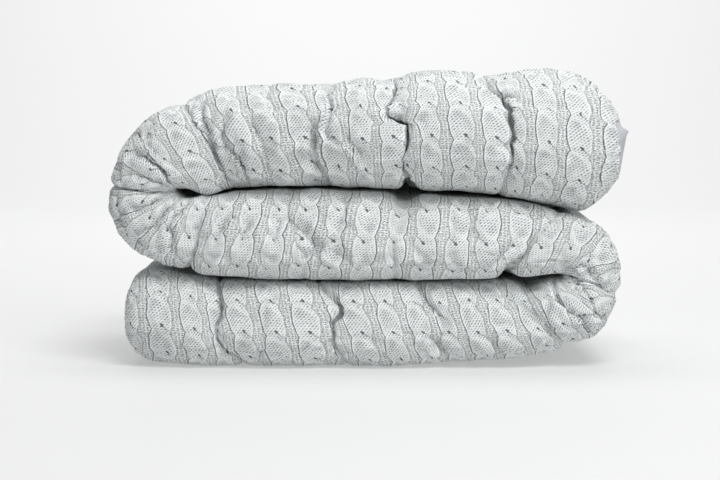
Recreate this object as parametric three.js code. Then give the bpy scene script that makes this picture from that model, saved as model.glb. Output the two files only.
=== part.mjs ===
// A filled duvet, 1.40 m wide and 2.05 m long, put away as one bundle. It is folded
// twice along its length, so that each layer holds four plies and shows one rounded
// fold to the front, and then back and forth in three: lower layer, right bend, middle
// layer, left bend, upper layer.
// Millimetres, +X to the right, +Y to the back, +Z up. The floor is Z = 0.
import * as THREE from 'three';

// ---- main sizes ----
const DEPTH = 372;          // front fold to back fold of a layer
const PLY_GAP = 3;          // space left between neighbouring plies
const FRONT_DEEP = 0.52;    // depth of the rounded front, as a share of the layer's height
const FRONT_SQUARE = 2.35;  // 2 is a round front, more is squarer

// ---- quilting seams, sewn across the duvet ----
const SEAM_FIRST = 127;     // from the lower free end, along the cloth
const SEAM_PITCH = 139;
const SEAM_PINCH = 0.62;    // share of a ply's thickness that a seam draws in
const SEAM_WIDE = 11;       // half width of the furrow
const SEAM_PRESSED = 0.3;   // share of that furrow left on a face that is pressed flat
const CROWN = 0.05;         // share by which a free channel is fuller at its middle

// ---- the free ends and the edge seam ----
const END_TAPER = 46;       // length over which the filling thins toward the edge seam
const EDGE_THICK = 0.36;    // share of a ply's thickness left at the edge seam
const FREE_EDGE_SHORT = { outer: 26, inner: 44 };  // free long edges, in from the back fold
const TIP = { out: 17, height: 250, half: 9, in: 40 };  // ear of the edge seam, at the upper end

// ---- the course of the strip, seen from the front ----
// run: way along the cloth from the lower free end. topX, topZ and underX, underZ: the two
// faces of the layer; at the lower layer the top face is above, past the right bend it is
// below, and past the left bend it is above again. front: how far the rounded front stands
// back from the front plane.
const COURSE = [
  { part: 'lower end',      run: 0,    topX: -272, topZ: 88,    underX: -272, underZ: 22,   front: 34 },
  { part: 'lower end',      run: 12,   topX: -263, topZ: 106,   underX: -258, underZ: 5,    front: 22 },
  { part: 'lower end',      run: 26,   topX: -246, topZ: 112,   underX: -238, underZ: 0,    front: 14 },
  { part: 'lower layer',    run: 63,   topX: -203, topZ: 103,   underX: -189, underZ: 0,    front: 6 },
  { part: 'lower layer',    run: 127,  topX: -163, topZ: 97,    underX: -142, underZ: 0,    front: 4 },
  { part: 'lower layer',    run: 213,  topX: -83,  topZ: 94.5,  underX: -63,  underZ: 0,    front: 2 },
  { part: 'lower layer',    run: 325,  topX: 3,    topZ: 94,    underX: 29,   underZ: 0,    front: 2 },
  { part: 'lower layer',    run: 475,  topX: 128,  topZ: 95,    underX: 159,  underZ: 0,    front: 4 },
  { part: 'lower layer',    run: 524,  topX: 167,  topZ: 95.5,  underX: 206,  underZ: 5,    front: 6 },
  { part: 'right bend',     run: 588,  topX: 207,  topZ: 97,    underX: 260,  underZ: 24,   front: 10 },
  { part: 'right bend',     run: 625,  topX: 220,  topZ: 98.5,  underX: 281,  underZ: 49,   front: 15 },
  { part: 'right bend',     run: 663,  topX: 225,  topZ: 101,   underX: 289,  underZ: 84,   front: 18 },
  { part: 'right bend',     run: 700,  topX: 225,  topZ: 104,   underX: 283,  underZ: 121,  front: 18 },
  { part: 'right bend',     run: 738,  topX: 219,  topZ: 105.5, underX: 262,  underZ: 157,  front: 15 },
  { part: 'right bend',     run: 762,  topX: 206,  topZ: 104,   underX: 240,  underZ: 170.5,  front: 13 },
  { part: 'middle layer',   run: 787,  topX: 188,  topZ: 101,   underX: 217,  underZ: 176.5, front: 12 },
  { part: 'middle layer',   run: 850,  topX: 148,  topZ: 98,    underX: 155,  underZ: 188,  front: 12 },
  { part: 'middle layer',   run: 925,  topX: 77,   topZ: 97,    underX: 87,   underZ: 192,  front: 12 },
  { part: 'middle layer',   run: 1000, topX: 9,    topZ: 96.5,  underX: 22,   underZ: 196,   front: 12 },
  { part: 'middle layer',   run: 1087, topX: -72,  topZ: 97,    underX: -58,  underZ: 198.5, front: 12 },
  { part: 'middle layer',   run: 1180, topX: -157, topZ: 100,   underX: -134, underZ: 197,   front: 12 },
  { part: 'left bend',      run: 1225, topX: -195, topZ: 106,   underX: -175, underZ: 190,  front: 13 },
  { part: 'left bend',      run: 1263, topX: -225, topZ: 114,   underX: -196, underZ: 189,  front: 15 },
  { part: 'left bend',      run: 1300, topX: -257, topZ: 133,   underX: -206, underZ: 191,   front: 18 },
  { part: 'left bend',      run: 1338, topX: -281, topZ: 163,   underX: -210, underZ: 194,  front: 20 },
  { part: 'left bend',      run: 1375, topX: -289, topZ: 198,   underX: -212, underZ: 198,  front: 20 },
  { part: 'left bend',      run: 1413, topX: -280, topZ: 234,   underX: -211, underZ: 200,  front: 19 },
  { part: 'left bend',      run: 1450, topX: -258, topZ: 267,   underX: -204, underZ: 200.5, front: 17 },
  { part: 'left bend',      run: 1488, topX: -233, topZ: 287,   underX: -184, underZ: 198,  front: 13 },
  { part: 'upper layer',    run: 1525, topX: -203, topZ: 303,   underX: -152, underZ: 199,   front: 9 },
  { part: 'upper layer',    run: 1570, topX: -163, topZ: 315,   underX: -124, underZ: 201,  front: 5 },
  { part: 'upper layer',    run: 1638, topX: -97,  topZ: 321,   underX: -68,  underZ: 201.5, front: 2 },
  { part: 'upper layer',    run: 1750, topX: 10,   topZ: 326,   underX: 20,   underZ: 199.5, front: 0 },
  { part: 'upper layer',    run: 1825, topX: 58,   topZ: 333,   underX: 66,   underZ: 197.5, front: 0 },
  { part: 'upper layer',    run: 1882, topX: 107,  topZ: 336,   underX: 120,  underZ: 195.5, front: 0 },
  { part: 'upper layer',    run: 1938, topX: 148,  topZ: 334,   underX: 157,  underZ: 190.5, front: 1 },
  { part: 'upper layer',    run: 1975, topX: 178,  topZ: 336,   underX: 180,  underZ: 186.5, front: 2 },
  { part: 'upper layer',    run: 2013, topX: 213,  topZ: 336,   underX: 212,  underZ: 179.5, front: 4 },
  { part: 'upper end',      run: 2044, topX: 246,  topZ: 328,   underX: 247,  underZ: 172,  front: 10 },
  { part: 'upper end',      run: 2062, topX: 271,  topZ: 309,   underX: 270,  underZ: 184,  front: 18 },
  { part: 'upper end',      run: 2075, topX: 288,  topZ: 284,   underX: 287,  underZ: 206,  front: 30 },
];
const RUN_END = COURSE[COURSE.length - 1].run;

// ---- main creases of the rounded front ----
// run: where the crease crosses mid height. lean: how far it moves along the cloth from the
// under face to the top face. from, to: its reach over the height, -1 under and 1 top.
const CREASES = [
  { of: 'lower layer, second seam',    run: 266,  lean: 10,  from: -1.0, to: 0.9, wide: 15, deep: 6 },
  { of: 'lower layer, long slant',     run: 438,  lean: -34, from: -0.6, to: 1.0, wide: 15, deep: 5 },
  { of: 'lower layer, before bend',    run: 566,  lean: -24, from: -0.8, to: 0.8, wide: 17, deep: 6 },
  { of: 'right bend',                  run: 640,  lean: 24,  from: -0.9, to: 0.4, wide: 11, deep: 8 },
  { of: 'middle layer, pucker',        run: 800,  lean: 40,  from: -1.0, to: 0.9, wide: 13, deep: 8 },
  { of: 'middle layer, furrow',        run: 905,  lean: 0,   from: -0.6, to: 1.0, wide: 12, deep: 6 },
  { of: 'middle layer, left',          run: 1165, lean: -20, from: -0.8, to: 0.9, wide: 12, deep: 7 },
  { of: 'left bend, lower',            run: 1268, lean: 14,  from: -1.0, to: 0.6, wide: 12, deep: 9 },
  { of: 'left bend, tongue',           run: 1402, lean: 8,   from: -1.0, to: 0.8, wide: 11, deep: 9 },
  { of: 'upper layer, deep furrow',    run: 1556, lean: -26, from: -0.9, to: 0.7, wide: 12, deep: 11 },
];

// ---- small helpers ----
const clamp = (v, lo, hi) => Math.min(hi, Math.max(lo, v));
const soft = (d, wide) => Math.exp(-((d / wide) ** 2));

// Smooth curve through one column of a table, without overshoot.
function column(rows, key) {
  const x = rows.map((r) => r.run);
  const y = rows.map((r) => r[key]);
  const slope = x.slice(1).map((v, i) => (y[i + 1] - y[i]) / (v - x[i]));
  const tangent = y.map((_, i) => {
    if (i === 0) return slope[0];
    if (i === y.length - 1) return slope[i - 1];
    const [before, after] = [slope[i - 1], slope[i]];
    return before * after <= 0 ? 0 : (2 * before * after) / (before + after);
  });
  return (at) => {
    const i = clamp(x.findIndex((v) => v > at) - 1, 0, x.length - 2);
    const j = at >= x[x.length - 1] ? x.length - 2 : i;
    const h = x[j + 1] - x[j];
    const t = clamp((at - x[j]) / h, 0, 1);
    const a = 2 * t ** 3 - 3 * t ** 2 + 1;
    const b = t ** 3 - 2 * t ** 2 + t;
    return a * y[j] + b * h * tangent[j] + (1 - a) * y[j + 1] + (t ** 3 - t ** 2) * h * tangent[j + 1];
  };
}
const course = Object.fromEntries(
  ['topX', 'topZ', 'underX', 'underZ', 'front'].map((key) => [key, column(COURSE, key)]),
);

// Distance along the cloth to the nearest quilting seam.
function toSeam(run) {
  const last = Math.floor((RUN_END - END_TAPER - SEAM_FIRST) / SEAM_PITCH);
  const k = clamp(Math.round((run - SEAM_FIRST) / SEAM_PITCH), 0, last);
  return Math.abs(run - SEAM_FIRST - k * SEAM_PITCH);
}

// Share of its full thickness that a ply has at this place of the cloth. A face that is
// pressed, by its neighbour or the floor, is flatter.
function fullness(run, pressed = false) {
  const d = toSeam(run);
  const crown = pressed ? 0 : CROWN;
  const channel = 1 - crown + crown * clamp(Math.sin((Math.PI * d) / SEAM_PITCH), 0, 1);
  const seam = 1 - SEAM_PINCH * (pressed ? SEAM_PRESSED : 1) * soft(d, SEAM_WIDE);
  const toEnd = clamp(Math.min(run, RUN_END - run) / END_TAPER, 0, 1);
  const end = EDGE_THICK + (1 - EDGE_THICK) * Math.sqrt(1 - (1 - toEnd) ** 2);
  return channel * seam * end;
}

// Whether the under face (-1) or the top face (1) of the layer is pressed flat at this place.
function isPressed(run, side) {
  const at = COURSE.filter((row) => row.run <= run).pop().part;
  if (at.endsWith('bend')) return false;
  return side < 0 || !at.startsWith('upper');
}

// How far the creases press the outer face in, at a place of the rounded front.
function creaseDepth(run, up) {
  let deep = 0;
  for (const c of CREASES) {
    if (up < c.from || up > c.to) continue;
    const middle = c.run + (c.lean * up) / 2;
    const fade = Math.sin((Math.PI * (up - c.from)) / (c.to - c.from)) ** 0.6;
    deep = Math.max(deep, c.deep * fade * soft(run - middle, c.wide));
  }
  return deep;
}

// ---- cross-section of a layer: four plies, wrapped round the front ----
// Each point is [a, h]: a from the front fold to the back, h across the layer from -H/2 to H/2.
function section(run, height) {
  const ply = (height - 3 * PLY_GAP) / 4;
  const half = (ply / 2) * fullness(run);
  const reach = height * FRONT_DEEP;
  // the four walls of the two wrapped plies, as distances in from the layer's outside
  const wall = {
    outerOut: ply / 2 - half,
    outerIn: ply / 2 + half,
    innerOut: 1.5 * ply + PLY_GAP - half,
    innerIn: 1.5 * ply + PLY_GAP + half,
  };
  const skin = (up) => {
    const face = (ply / 2) * (1 - fullness(run, isPressed(run, up)));
    return wall.outerOut + (face - wall.outerOut) * Math.abs(up) ** 3;
  };
  const flat = (inset, side, ...shares) =>
    shares.map((s) => [reach + s * (DEPTH - 2 * reach), side * (height / 2 - inset)]);
  // one wall of the rounded front; without an inset it is the outer face, with its creases
  const bend = (steps, from, inset = null) => {
    const out = [];
    for (let i = 0; i <= steps; i++) {
      const angle = from * Math.PI * (i / steps - 0.5);
      const up = Math.sign(Math.sin(angle)) * Math.abs(Math.sin(angle)) ** (2 / FRONT_SQUARE);
      const ahead = Math.cos(angle) ** (2 / FRONT_SQUARE);
      const dip = inset === null ? Math.min(creaseDepth(run, up), ply * 0.55) : 0;
      const into = inset ?? skin(up);
      const lift = dip * Math.abs(up) * 0.5 * (1 - up ** 4);
      out.push([
        reach - Math.max(reach - into - dip, 1) * ahead,
        up * (height / 2 - into - lift),
      ]);
    }
    return out;
  };
  // a free long edge, thinned to its edge seam
  const freeEdge = (a, out, inn, side) => {
    const mid = (out + inn) / 2;
    const lip = (inset) => mid + (inset - mid) * 0.34;
    return [
      [a - 16, side * (height / 2 - inn)],
      [a, side * (height / 2 - lip(inn))],
      [a, side * (height / 2 - lip(out))],
      [a - 16, side * (height / 2 - out)],
    ];
  };
  // the rounded back fold, which joins the outer and the inner upper ply
  const backFold = [];
  const foldMid = height / 2 - (skin(1) + wall.innerIn) / 2;
  const foldHalf = (wall.innerIn - skin(1)) / 2;
  for (const turn of [0, 36, 72, 108, 144, 180]) {
    const angle = (turn * Math.PI) / 180;
    backFold.push([
      DEPTH - foldHalf + foldHalf * Math.sin(angle),
      foldMid + foldHalf * Math.cos(angle),
    ]);
  }
  const creaseH = height / 2 - (wall.outerIn + wall.innerOut) / 2;
  return [
    ...flat(skin(-1), -1, 0.78, 0.5, 0.2),
    ...bend(10, 1),
    ...flat(skin(1), 1, 0.2, 0.5, 0.78),
    ...backFold,
    ...flat(wall.innerIn, 1, 0.6, 0.2),
    [wall.innerIn + 2, 0],
    ...flat(wall.innerIn, -1, 0.2, 0.6),
    ...freeEdge(DEPTH - FREE_EDGE_SHORT.inner, wall.innerOut, wall.innerIn, -1),
    ...flat(wall.innerOut, -1, 0.5),
    ...bend(4, 1, wall.innerOut),
    ...flat(wall.innerOut, 1, 0.5),
    [DEPTH - foldHalf, creaseH],
    ...flat(wall.outerIn, 1, 0.5),
    ...bend(5, -1, wall.outerIn),
    ...flat(wall.outerIn, -1, 0.5),
    ...freeEdge(DEPTH - FREE_EDGE_SHORT.outer, skin(-1), wall.outerIn, -1),
  ];
}

// ---- where the strip is cut into sections: closer together at each seam and bend ----
const inBend = (run) => COURSE.some((r) => r.part.endsWith('bend') && Math.abs(r.run - run) < 30);
function stations() {
  const at = [0, 5, 12, 22, 36, 58, 82, 105];
  for (let seam = SEAM_FIRST; seam < RUN_END - END_TAPER; seam += SEAM_PITCH)
    for (const step of [-11, 0, 11, 30, ...(inBend(seam + 69) ? [56, 83] : [69.5]), 109])
      at.push(seam + step);
  at.push(RUN_END - 36, RUN_END - 22, RUN_END - 12, RUN_END - 5, RUN_END);
  return [...new Set(at)].filter((v) => v >= 0 && v <= RUN_END).sort((a, b) => a - b);
}

// ---- the solid ----
function duvetGeometry() {
  const rings = [];
  const outlines = [];
  for (const run of stations()) {
    const top = new THREE.Vector3(course.topX(run), 0, course.topZ(run));
    const under = new THREE.Vector3(course.underX(run), 0, course.underZ(run));
    const middle = top.clone().add(under).multiplyScalar(0.5);
    const height = top.distanceTo(under);
    const across = top.clone().sub(under).normalize();
    const front = course.front(run);
    const outline = section(run, height);
    outlines.push(outline);
    rings.push(
      outline.map(([a, h]) => {
        const depth = front + (a * (DEPTH - 1.5 * front)) / DEPTH;
        return middle.clone().addScaledVector(across, h).setY(depth - DEPTH / 2);
      }),
    );
  }
  // the ear of the edge seam stands out from the front of the upper end
  for (const p of rings[rings.length - 1])
    if (p.y < -DEPTH / 2 + TIP.in) p.x += TIP.out * soft(p.z - TIP.height, TIP.half);

  const count = outlines[0].length;
  const index = [];
  for (let r = 0; r + 1 < rings.length; r++)
    for (let i = 0; i < count; i++) {
      const j = (i + 1) % count;
      const [a, b] = [r * count + i, r * count + j];
      index.push(a, b + count, b, a, a + count, b + count);
    }
  const cap = (ring, flip) => {
    const flat = outlines[ring].map(([a, h]) => new THREE.Vector2(a, h));
    for (const [a, b, c] of THREE.ShapeUtils.triangulateShape(flat, []))
      index.push(...(flip ? [a, c, b] : [a, b, c]).map((v) => v + ring * count));
  };
  cap(0, true);
  cap(rings.length - 1, false);

  const points = rings.flat();
  const box = new THREE.Box3().setFromPoints(points);
  const centre = box.getCenter(new THREE.Vector3());
  const geometry = new THREE.BufferGeometry().setFromPoints(
    points.map((p) => p.clone().sub(new THREE.Vector3(centre.x, centre.y, box.min.z))),
  );
  geometry.setIndex(index);
  geometry.computeVertexNormals();
  return geometry;
}

const duvet = new THREE.Mesh(
  duvetGeometry(),
  new THREE.MeshStandardMaterial({ color: 0xd3d8d6, roughness: 0.9 }),
);
duvet.name = 'duvet';

const part = new THREE.Group();
part.name = 'folded_duvet';
part.add(duvet);
export default part;
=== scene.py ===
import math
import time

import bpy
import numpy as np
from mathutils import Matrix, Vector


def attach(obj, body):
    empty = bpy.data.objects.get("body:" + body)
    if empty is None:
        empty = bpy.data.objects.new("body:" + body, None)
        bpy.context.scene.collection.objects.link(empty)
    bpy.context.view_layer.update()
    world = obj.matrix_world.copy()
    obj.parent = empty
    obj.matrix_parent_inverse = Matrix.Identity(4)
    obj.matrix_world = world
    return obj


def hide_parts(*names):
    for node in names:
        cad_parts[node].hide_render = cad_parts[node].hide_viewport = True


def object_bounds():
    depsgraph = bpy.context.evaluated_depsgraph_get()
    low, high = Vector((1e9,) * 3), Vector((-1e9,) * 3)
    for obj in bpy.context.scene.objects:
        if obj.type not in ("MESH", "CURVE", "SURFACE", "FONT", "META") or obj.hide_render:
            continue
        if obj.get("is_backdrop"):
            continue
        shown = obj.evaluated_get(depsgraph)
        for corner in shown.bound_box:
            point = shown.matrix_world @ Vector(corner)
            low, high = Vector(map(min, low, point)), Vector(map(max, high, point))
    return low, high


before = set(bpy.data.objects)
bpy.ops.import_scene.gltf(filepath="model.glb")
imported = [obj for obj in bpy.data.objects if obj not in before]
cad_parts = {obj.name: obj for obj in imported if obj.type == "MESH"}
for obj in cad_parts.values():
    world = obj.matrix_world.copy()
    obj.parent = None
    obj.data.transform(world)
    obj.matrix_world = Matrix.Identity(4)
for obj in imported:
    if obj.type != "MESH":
        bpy.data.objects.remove(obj)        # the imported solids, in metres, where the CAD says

# %% [markdown]
# # A filled duvet, folded and put away
# The real thing is a printed cotton cover with a soft filling, quilted across every
# 14 cm. It is folded twice along its length, so that each layer holds four plies behind
# one rounded fold, and then back and forth in three. This lesson builds it as one closed
# mesh that follows the same course as the imported solid, presses the seams and the main
# creases into its front, lets Blender's cloth solver add the small wrinkles, and
# prints it with a knit-look pattern made of shader nodes.

MM = 0.001
FRAME_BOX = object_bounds()
print("solid to dress:", list(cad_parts), [round(v, 3) for v in FRAME_BOX[1] - FRAME_BOX[0]])


def added(name, data):
    """A new object in the scene, at the origin."""
    made = bpy.data.objects.new(name, data)
    bpy.context.scene.collection.objects.link(made)
    return made


# %% [markdown]
# ## The camera
# The photo was taken almost level, a little above the folds, with a long lens: the floor
# runs into the backdrop and the layers show no convergence. A camera is a lens and a
# place. Its lens comes from the width that the picture covers at the front of the duvet,
# which the print's repeat gives, so both are worked out from named lengths.

# %% Camera
AIM = Vector((-11.3, -149.5, 143.0)) * MM  # the point in the middle of the picture
CAMERA_FAR = 2.2            # metres from that point
CAMERA_UP = math.radians(4.0)  # how far it looks down
PICTURE_PIXELS = 720
PIXEL = 1.12                # millimetres at that point, from the print's repeat
PICTURE_WIDE = PICTURE_PIXELS * PIXEL * MM
SENSOR = 36.0

camera = added("camera", bpy.data.cameras.new("camera"))
camera.data.sensor_width = SENSOR
camera.data.lens = SENSOR * CAMERA_FAR / PICTURE_WIDE
toward = Vector((0.0, math.cos(CAMERA_UP), -math.sin(CAMERA_UP)))
camera.location = AIM - toward * CAMERA_FAR
camera.rotation_euler = toward.to_track_quat("-Z", "Y").to_euler()
bpy.context.scene.camera = camera
print("lens", round(camera.data.lens, 1), "mm")

# %% [markdown]
# ## The course of the strip
# Seen from the front, the duvet is a strip that runs from its lower free end to the
# right, bends back to the left, and bends again to the right. The strip's two faces are
# given at a few places of the cloth, in millimetres, and a smooth curve joins them. The
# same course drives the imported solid, so the cloth lies where the solid lies.

# %% Course table
# run: place along the cloth. top and under: the strip's two faces, as x and z.
# front: how far the front stands back there.
COURSE_NAMES = ("run", "top_x", "top_z", "under_x", "under_z", "front")
COURSE = {
    "lower end": [
        (0, -272, 88, -272, 22, 34),
        (12, -263, 106, -258, 5, 22),
        (26, -246, 112, -238, 0, 14),
    ],
    "lower layer": [
        (63, -203, 103, -189, 0, 6),
        (127, -163, 97, -142, 0, 4),
        (213, -83, 94.5, -63, 0, 2),
        (325, 3, 94, 29, 0, 2),
        (475, 128, 95, 159, 0, 4),
        (524, 167, 95.5, 206, 5, 6),
    ],
    "right bend": [
        (588, 207, 97, 260, 24, 10),
        (625, 220, 98.5, 281, 49, 15),
        (663, 225, 101, 289, 84, 18),
        (700, 225, 104, 283, 121, 18),
        (738, 219, 105.5, 262, 157, 15),
        (762, 206, 104, 240, 170.5, 13),
    ],
    "middle layer": [
        (787, 188, 101, 217, 176.5, 12),
        (850, 148, 98, 155, 188, 12),
        (925, 77, 97, 87, 192, 12),
        (1000, 9, 96.5, 22, 196, 12),
        (1087, -72, 97, -58, 198.5, 12),
        (1180, -157, 100, -134, 197, 12),
    ],
    "left bend": [
        (1225, -195, 106, -175, 190, 13),
        (1263, -225, 114, -196, 189, 15),
        (1300, -257, 133, -206, 191, 18),
        (1338, -281, 163, -210, 194, 20),
        (1375, -289, 198, -212, 198, 20),
        (1413, -280, 234, -211, 200, 19),
        (1450, -258, 267, -204, 200.5, 17),
        (1488, -233, 287, -184, 198, 13),
    ],
    "upper layer": [
        (1525, -203, 303, -152, 199, 9),
        (1570, -163, 315, -124, 201, 5),
        (1638, -97, 321, -68, 201.5, 2),
        (1750, 10, 326, 20, 199.5, 0),
        (1825, 58, 333, 66, 197.5, 0),
        (1882, 107, 336, 120, 195.5, 0),
        (1938, 148, 334, 157, 190.5, 1),
        (1975, 178, 336, 180, 186.5, 2),
        (2013, 213, 336, 212, 179.5, 4),
    ],
    "upper end": [
        (2044, 246, 328, 247, 172, 10),
        (2062, 271, 309, 270, 184, 18),
        (2075, 288, 284, 287, 206, 30),
    ],
}
DEPTH = 372.0            # front fold to back fold of a layer
CENTRE = (6.84, -0.55)   # what the solid was moved by, to stand over its origin

# %% Course as smooth curves
rows = [row for part in COURSE.values() for row in part]
RUN = np.array([row[0] for row in rows], float)
RUN_END = RUN[-1]


def column(name):
    """A smooth curve through one column of the table, without overshoot."""
    value = np.array([row[COURSE_NAMES.index(name)] for row in rows], float)
    slope = np.diff(value) / np.diff(RUN)
    before, after = slope[:-1], slope[1:]
    same_way = before * after > 0
    tangent = np.concatenate((slope[:1], np.zeros(len(before)), slope[-1:]))
    total = np.where(same_way, before + after, 1.0)
    tangent[1:-1] = np.where(same_way, 2 * before * after / total, 0.0)

    def at(run):
        i = np.clip(np.searchsorted(RUN, run, side="right") - 1, 0, len(RUN) - 2)
        step = RUN[i + 1] - RUN[i]
        t = np.clip((run - RUN[i]) / step, 0, 1)
        here = 2 * t**3 - 3 * t**2 + 1
        leave = (t**3 - 2 * t**2 + t) * step * tangent[i]
        arrive = (t**3 - t**2) * step * tangent[i + 1]
        return here * value[i] + leave + (1 - here) * value[i + 1] + arrive

    return at


course = {name: column(name) for name in COURSE_NAMES[1:]}
print("cloth length", RUN_END, "mm in", len(rows), "sections")

# %% [markdown]
# ## Quilting seams
# A quilting seam sews both faces of the cover together, so the cloth dives into a sharp
# furrow there and swells into a channel between two seams. The seams lie at one pitch
# along the cloth, but the folded cloth pulls each a little askew. Ten of them are
# shallow: a table says how far each has moved at five heights of the rounded front, and
# how deep it is at three. Four are deep, and in those one side lies over the other, so
# they get longer tables.

# %% Seam table
SEAM_FIRST = 127.0
SEAM_PITCH = 139.0
SEAM_COUNT = 14
HEIGHTS = (-1.0, -0.5, 0.0, 0.5, 1.0)  # -1 is the under face, 1 the top face
SHALLOW_SEAMS = {
    # askew at five heights          deep at under face, middle, top face
    2: ((-3, -6, 8, 2, -10), (4, 6, 5)),
    3: ((6, 5, -6, -18, -34), (3, 7, 6)),
    4: ((-20, -20, -19, -12, 0), (2, 7, 6)),
    5: ((-38, -20, -12, -10, 14), (4, 9, 12)),
    6: ((17, 19, 20, 16, 10), (4, 5, 6)),
    7: ((18, 16, 2, -16, -18), (4, 4, 4)),
    8: ((-12, -14, -14, -14, -12), (3, 9, 10)),
    9: ((-12, -8, -3, 1, 3), (5, 4, 3)),
    10: ((14, 14, 13, 10, 5), (5, 7, 2)),
    11: ((15, 6, 10, 32, 36), (6, 7, 7)),
}
DEEP_SEAMS = {
    # (height, askew, deep, over), and `over` is -1 where the side nearer the lower free
    # end lies on top, 1 where the other side does
    0: (
        (1.0, -4, 14, -1), (0.54, -6, 18, -1), (0.28, -10, 16, -1), (0.05, -18, 12, -1),
        (-0.32, -22, 10, -0.6), (-0.56, -21, 12, -0.5), (-0.75, -8, 14, -0.5),
        (-0.9, 4, 14, 0), (-1.0, 8, 14, 0),
    ),
    1: (
        (1.0, -12, 10, 0), (0.93, -6, 12, -0.6), (0.76, 6, 15, -1), (0.54, 14, 18, -1),
        (0.36, 8, 20, -1), (0.15, -7, 16, -1), (-0.32, -12, 14, -0.8),
        (-0.56, -11, 13, -0.5), (-0.8, -5, 12, 0), (-1.0, 0, 12, 0),
    ),
    12: (
        (1.0, -8, 16, 0.6), (0.73, -8, 22, 1), (0.57, -12, 25, 1), (0.45, -18, 26, 1),
        (0.28, -15, 24, 0.8), (0.2, -9, 26, 0), (0.1, 0, 27, -0.8), (0.0, -1, 27, -1),
        (-0.25, -5, 27, -1), (-0.5, -10, 25, -1), (-0.73, -6, 22, -0.8), (-1.0, 5, 22, 0),
    ),
    13: (
        (1.0, -8, 13, 0), (0.87, -4, 16, -0.4), (0.73, 5, 20, -1), (0.53, 5, 20, -1),
        (0.4, 12, 22, -1), (0.2, 14, 25, -1), (-0.07, 16, 26, -1), (-0.17, 13, 20, -1),
        (-0.3, 15, 26, -1), (-0.47, 16, 19, -0.8), (-0.72, 10, 10, -0.4), (-1.0, -3, 11, 0),
    ),
}
SEAM_PINCH = 0.62        # share of a ply's thickness that a seam draws in, inside the fold
PINCH_WIDE = 12.0        # half width of that pinch
SEAM_PRESSED = 0.3       # share of a furrow left where a neighbour or the floor presses
CROWN = 7.0              # how far a free channel swells at its middle

# %% Seams in order
seam_run = SEAM_FIRST + SEAM_PITCH * np.arange(SEAM_COUNT)
print(SEAM_COUNT, "seams, the last at", seam_run[-1], "mm")


def seam_table(k):
    """Heights from the under face up, and how askew, deep and overlapped seam k is there."""
    if k in DEEP_SEAMS:
        return np.array(sorted(DEEP_SEAMS[k]), float).T
    askew, deep = SHALLOW_SEAMS[k]
    no_overlap = (0,) * len(HEIGHTS)
    return np.array((HEIGHTS, askew, np.interp(HEIGHTS, (-1, 0, 1), deep), no_overlap), float)


SEAMS = [seam_table(k) for k in range(SEAM_COUNT)]
print("deepest furrow", max(seam[2].max() for seam in SEAMS), "mm")


def nearest_seam(run):
    """Which seam is nearest to each place of the cloth."""
    k = np.rint((run - SEAM_FIRST) / SEAM_PITCH)
    return np.clip(k, 0, SEAM_COUNT - 1).astype(int)


# %% [markdown]
# ## The wrapped plies
# Behind each rounded front lie four plies. Their outline is one closed line: along the
# under face, round the front, along the top face, round the back fold, and then in and
# out between the plies, with rounded free edges at the back. Every place of the cloth
# gets that line with the same number of points, so the points join up into a grid. A
# grid keeps the print's coordinates through everything that bends it, which a voxel
# remesh would lose.

# %% Sizes of one layer
PLY_GAP = 3.0
FRONT_DEEP = 0.52        # depth of the rounded front, as a share of the layer's height
FRONT_SQUARE = 2.35      # 2 is a round front, more is squarer
FREE_EDGE = {"outer": 26.0, "inner": 44.0}  # free long edges, in from the back fold
END_TAPER = 46.0         # the filling thins over this length toward the edge seam
EDGE_THICK = 0.25        # share of a ply's thickness left there
EDGE_ROUND = 16.0        # how far a free edge's round reaches past its flat
EDGE_SECTION = ((10, 0.96), (5, 0.8), (1.5, 0.5), (0, 0.2))  # back from its tip, share thick
BEND_LEAST = 1.0         # the tightest bend of an inner wall
ROOM_FADE = 14.0         # an inner wall clears a furrow over this length beside it
ROOM_REACH = 30.0        # and keeps its place past this one
ROOM_SPARE = 2.5         # cloth and filling left under the furrow
WRAP_UNDER = 5.0         # the next wall lies so much deeper
CORE_ROUND = 2.0         # the innermost turn stands out so much past its flats

# %% Stations along the cloth
FRONT_STEPS = 46
INNER_STEPS = 7          # steps round the bends that don't show
FLAT_STEPS = 20
FLAT_CLOSER = 0.62       # below 1, the points of a flat lie closer toward the front
FLAT = 1 - (1 - np.linspace(0, 1, FLAT_STEPS + 1)[1:]) ** FLAT_CLOSER
INSIDE = np.linspace(0, 1, 6)
FINE = 0.5               # places are tried this far apart
FINEST, COARSEST = 1.7, 4.7  # steps along the cloth, at a seam and between seams
SEAM_WIDENS = 9          # a step grows 1 mm for so many millimetres away from a seam
END_FINEST, END_WIDENS = 1, 6  # the same toward a free end


def stations():
    """Places of the cloth that get an outline, closer together at seams and free ends."""
    fine = np.arange(0, RUN_END + FINE / 2, FINE)
    to_seam = np.abs(fine - seam_run[nearest_seam(fine)])
    free_end = np.minimum(fine, RUN_END - fine)
    gap = np.minimum(FINEST + to_seam / SEAM_WIDENS, COARSEST)
    gap = np.minimum(gap, END_FINEST + free_end / END_WIDENS)
    count = np.concatenate(([0], np.cumsum(FINE / gap[:-1])))
    steps = int(round(count[-1]))
    return np.interp(np.linspace(0, count[-1], steps + 1), count, fine)


run = stations()
print(len(run), "places along the cloth")

# %% Thickness of the plies
side = {name: at(run)[:, None] for name, at in course.items()}
height = np.hypot(side["top_x"] - side["under_x"], side["top_z"] - side["under_z"])
reach = height * FRONT_DEEP
ply = (height - 3 * PLY_GAP) / 4
to_end = np.clip(np.minimum(run, RUN_END - run) / END_TAPER, 0, 1)
end_share = EDGE_THICK + (1 - EDGE_THICK) * np.sqrt(1 - (1 - to_end) ** 2)
seam_share = 1 - SEAM_PINCH * np.exp(-(((run - seam_run[nearest_seam(run)]) / PINCH_WIDE) ** 2))
half = ply / 2 * (end_share * seam_share)[:, None]
half_free = ply / 2 * end_share[:, None]

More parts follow.
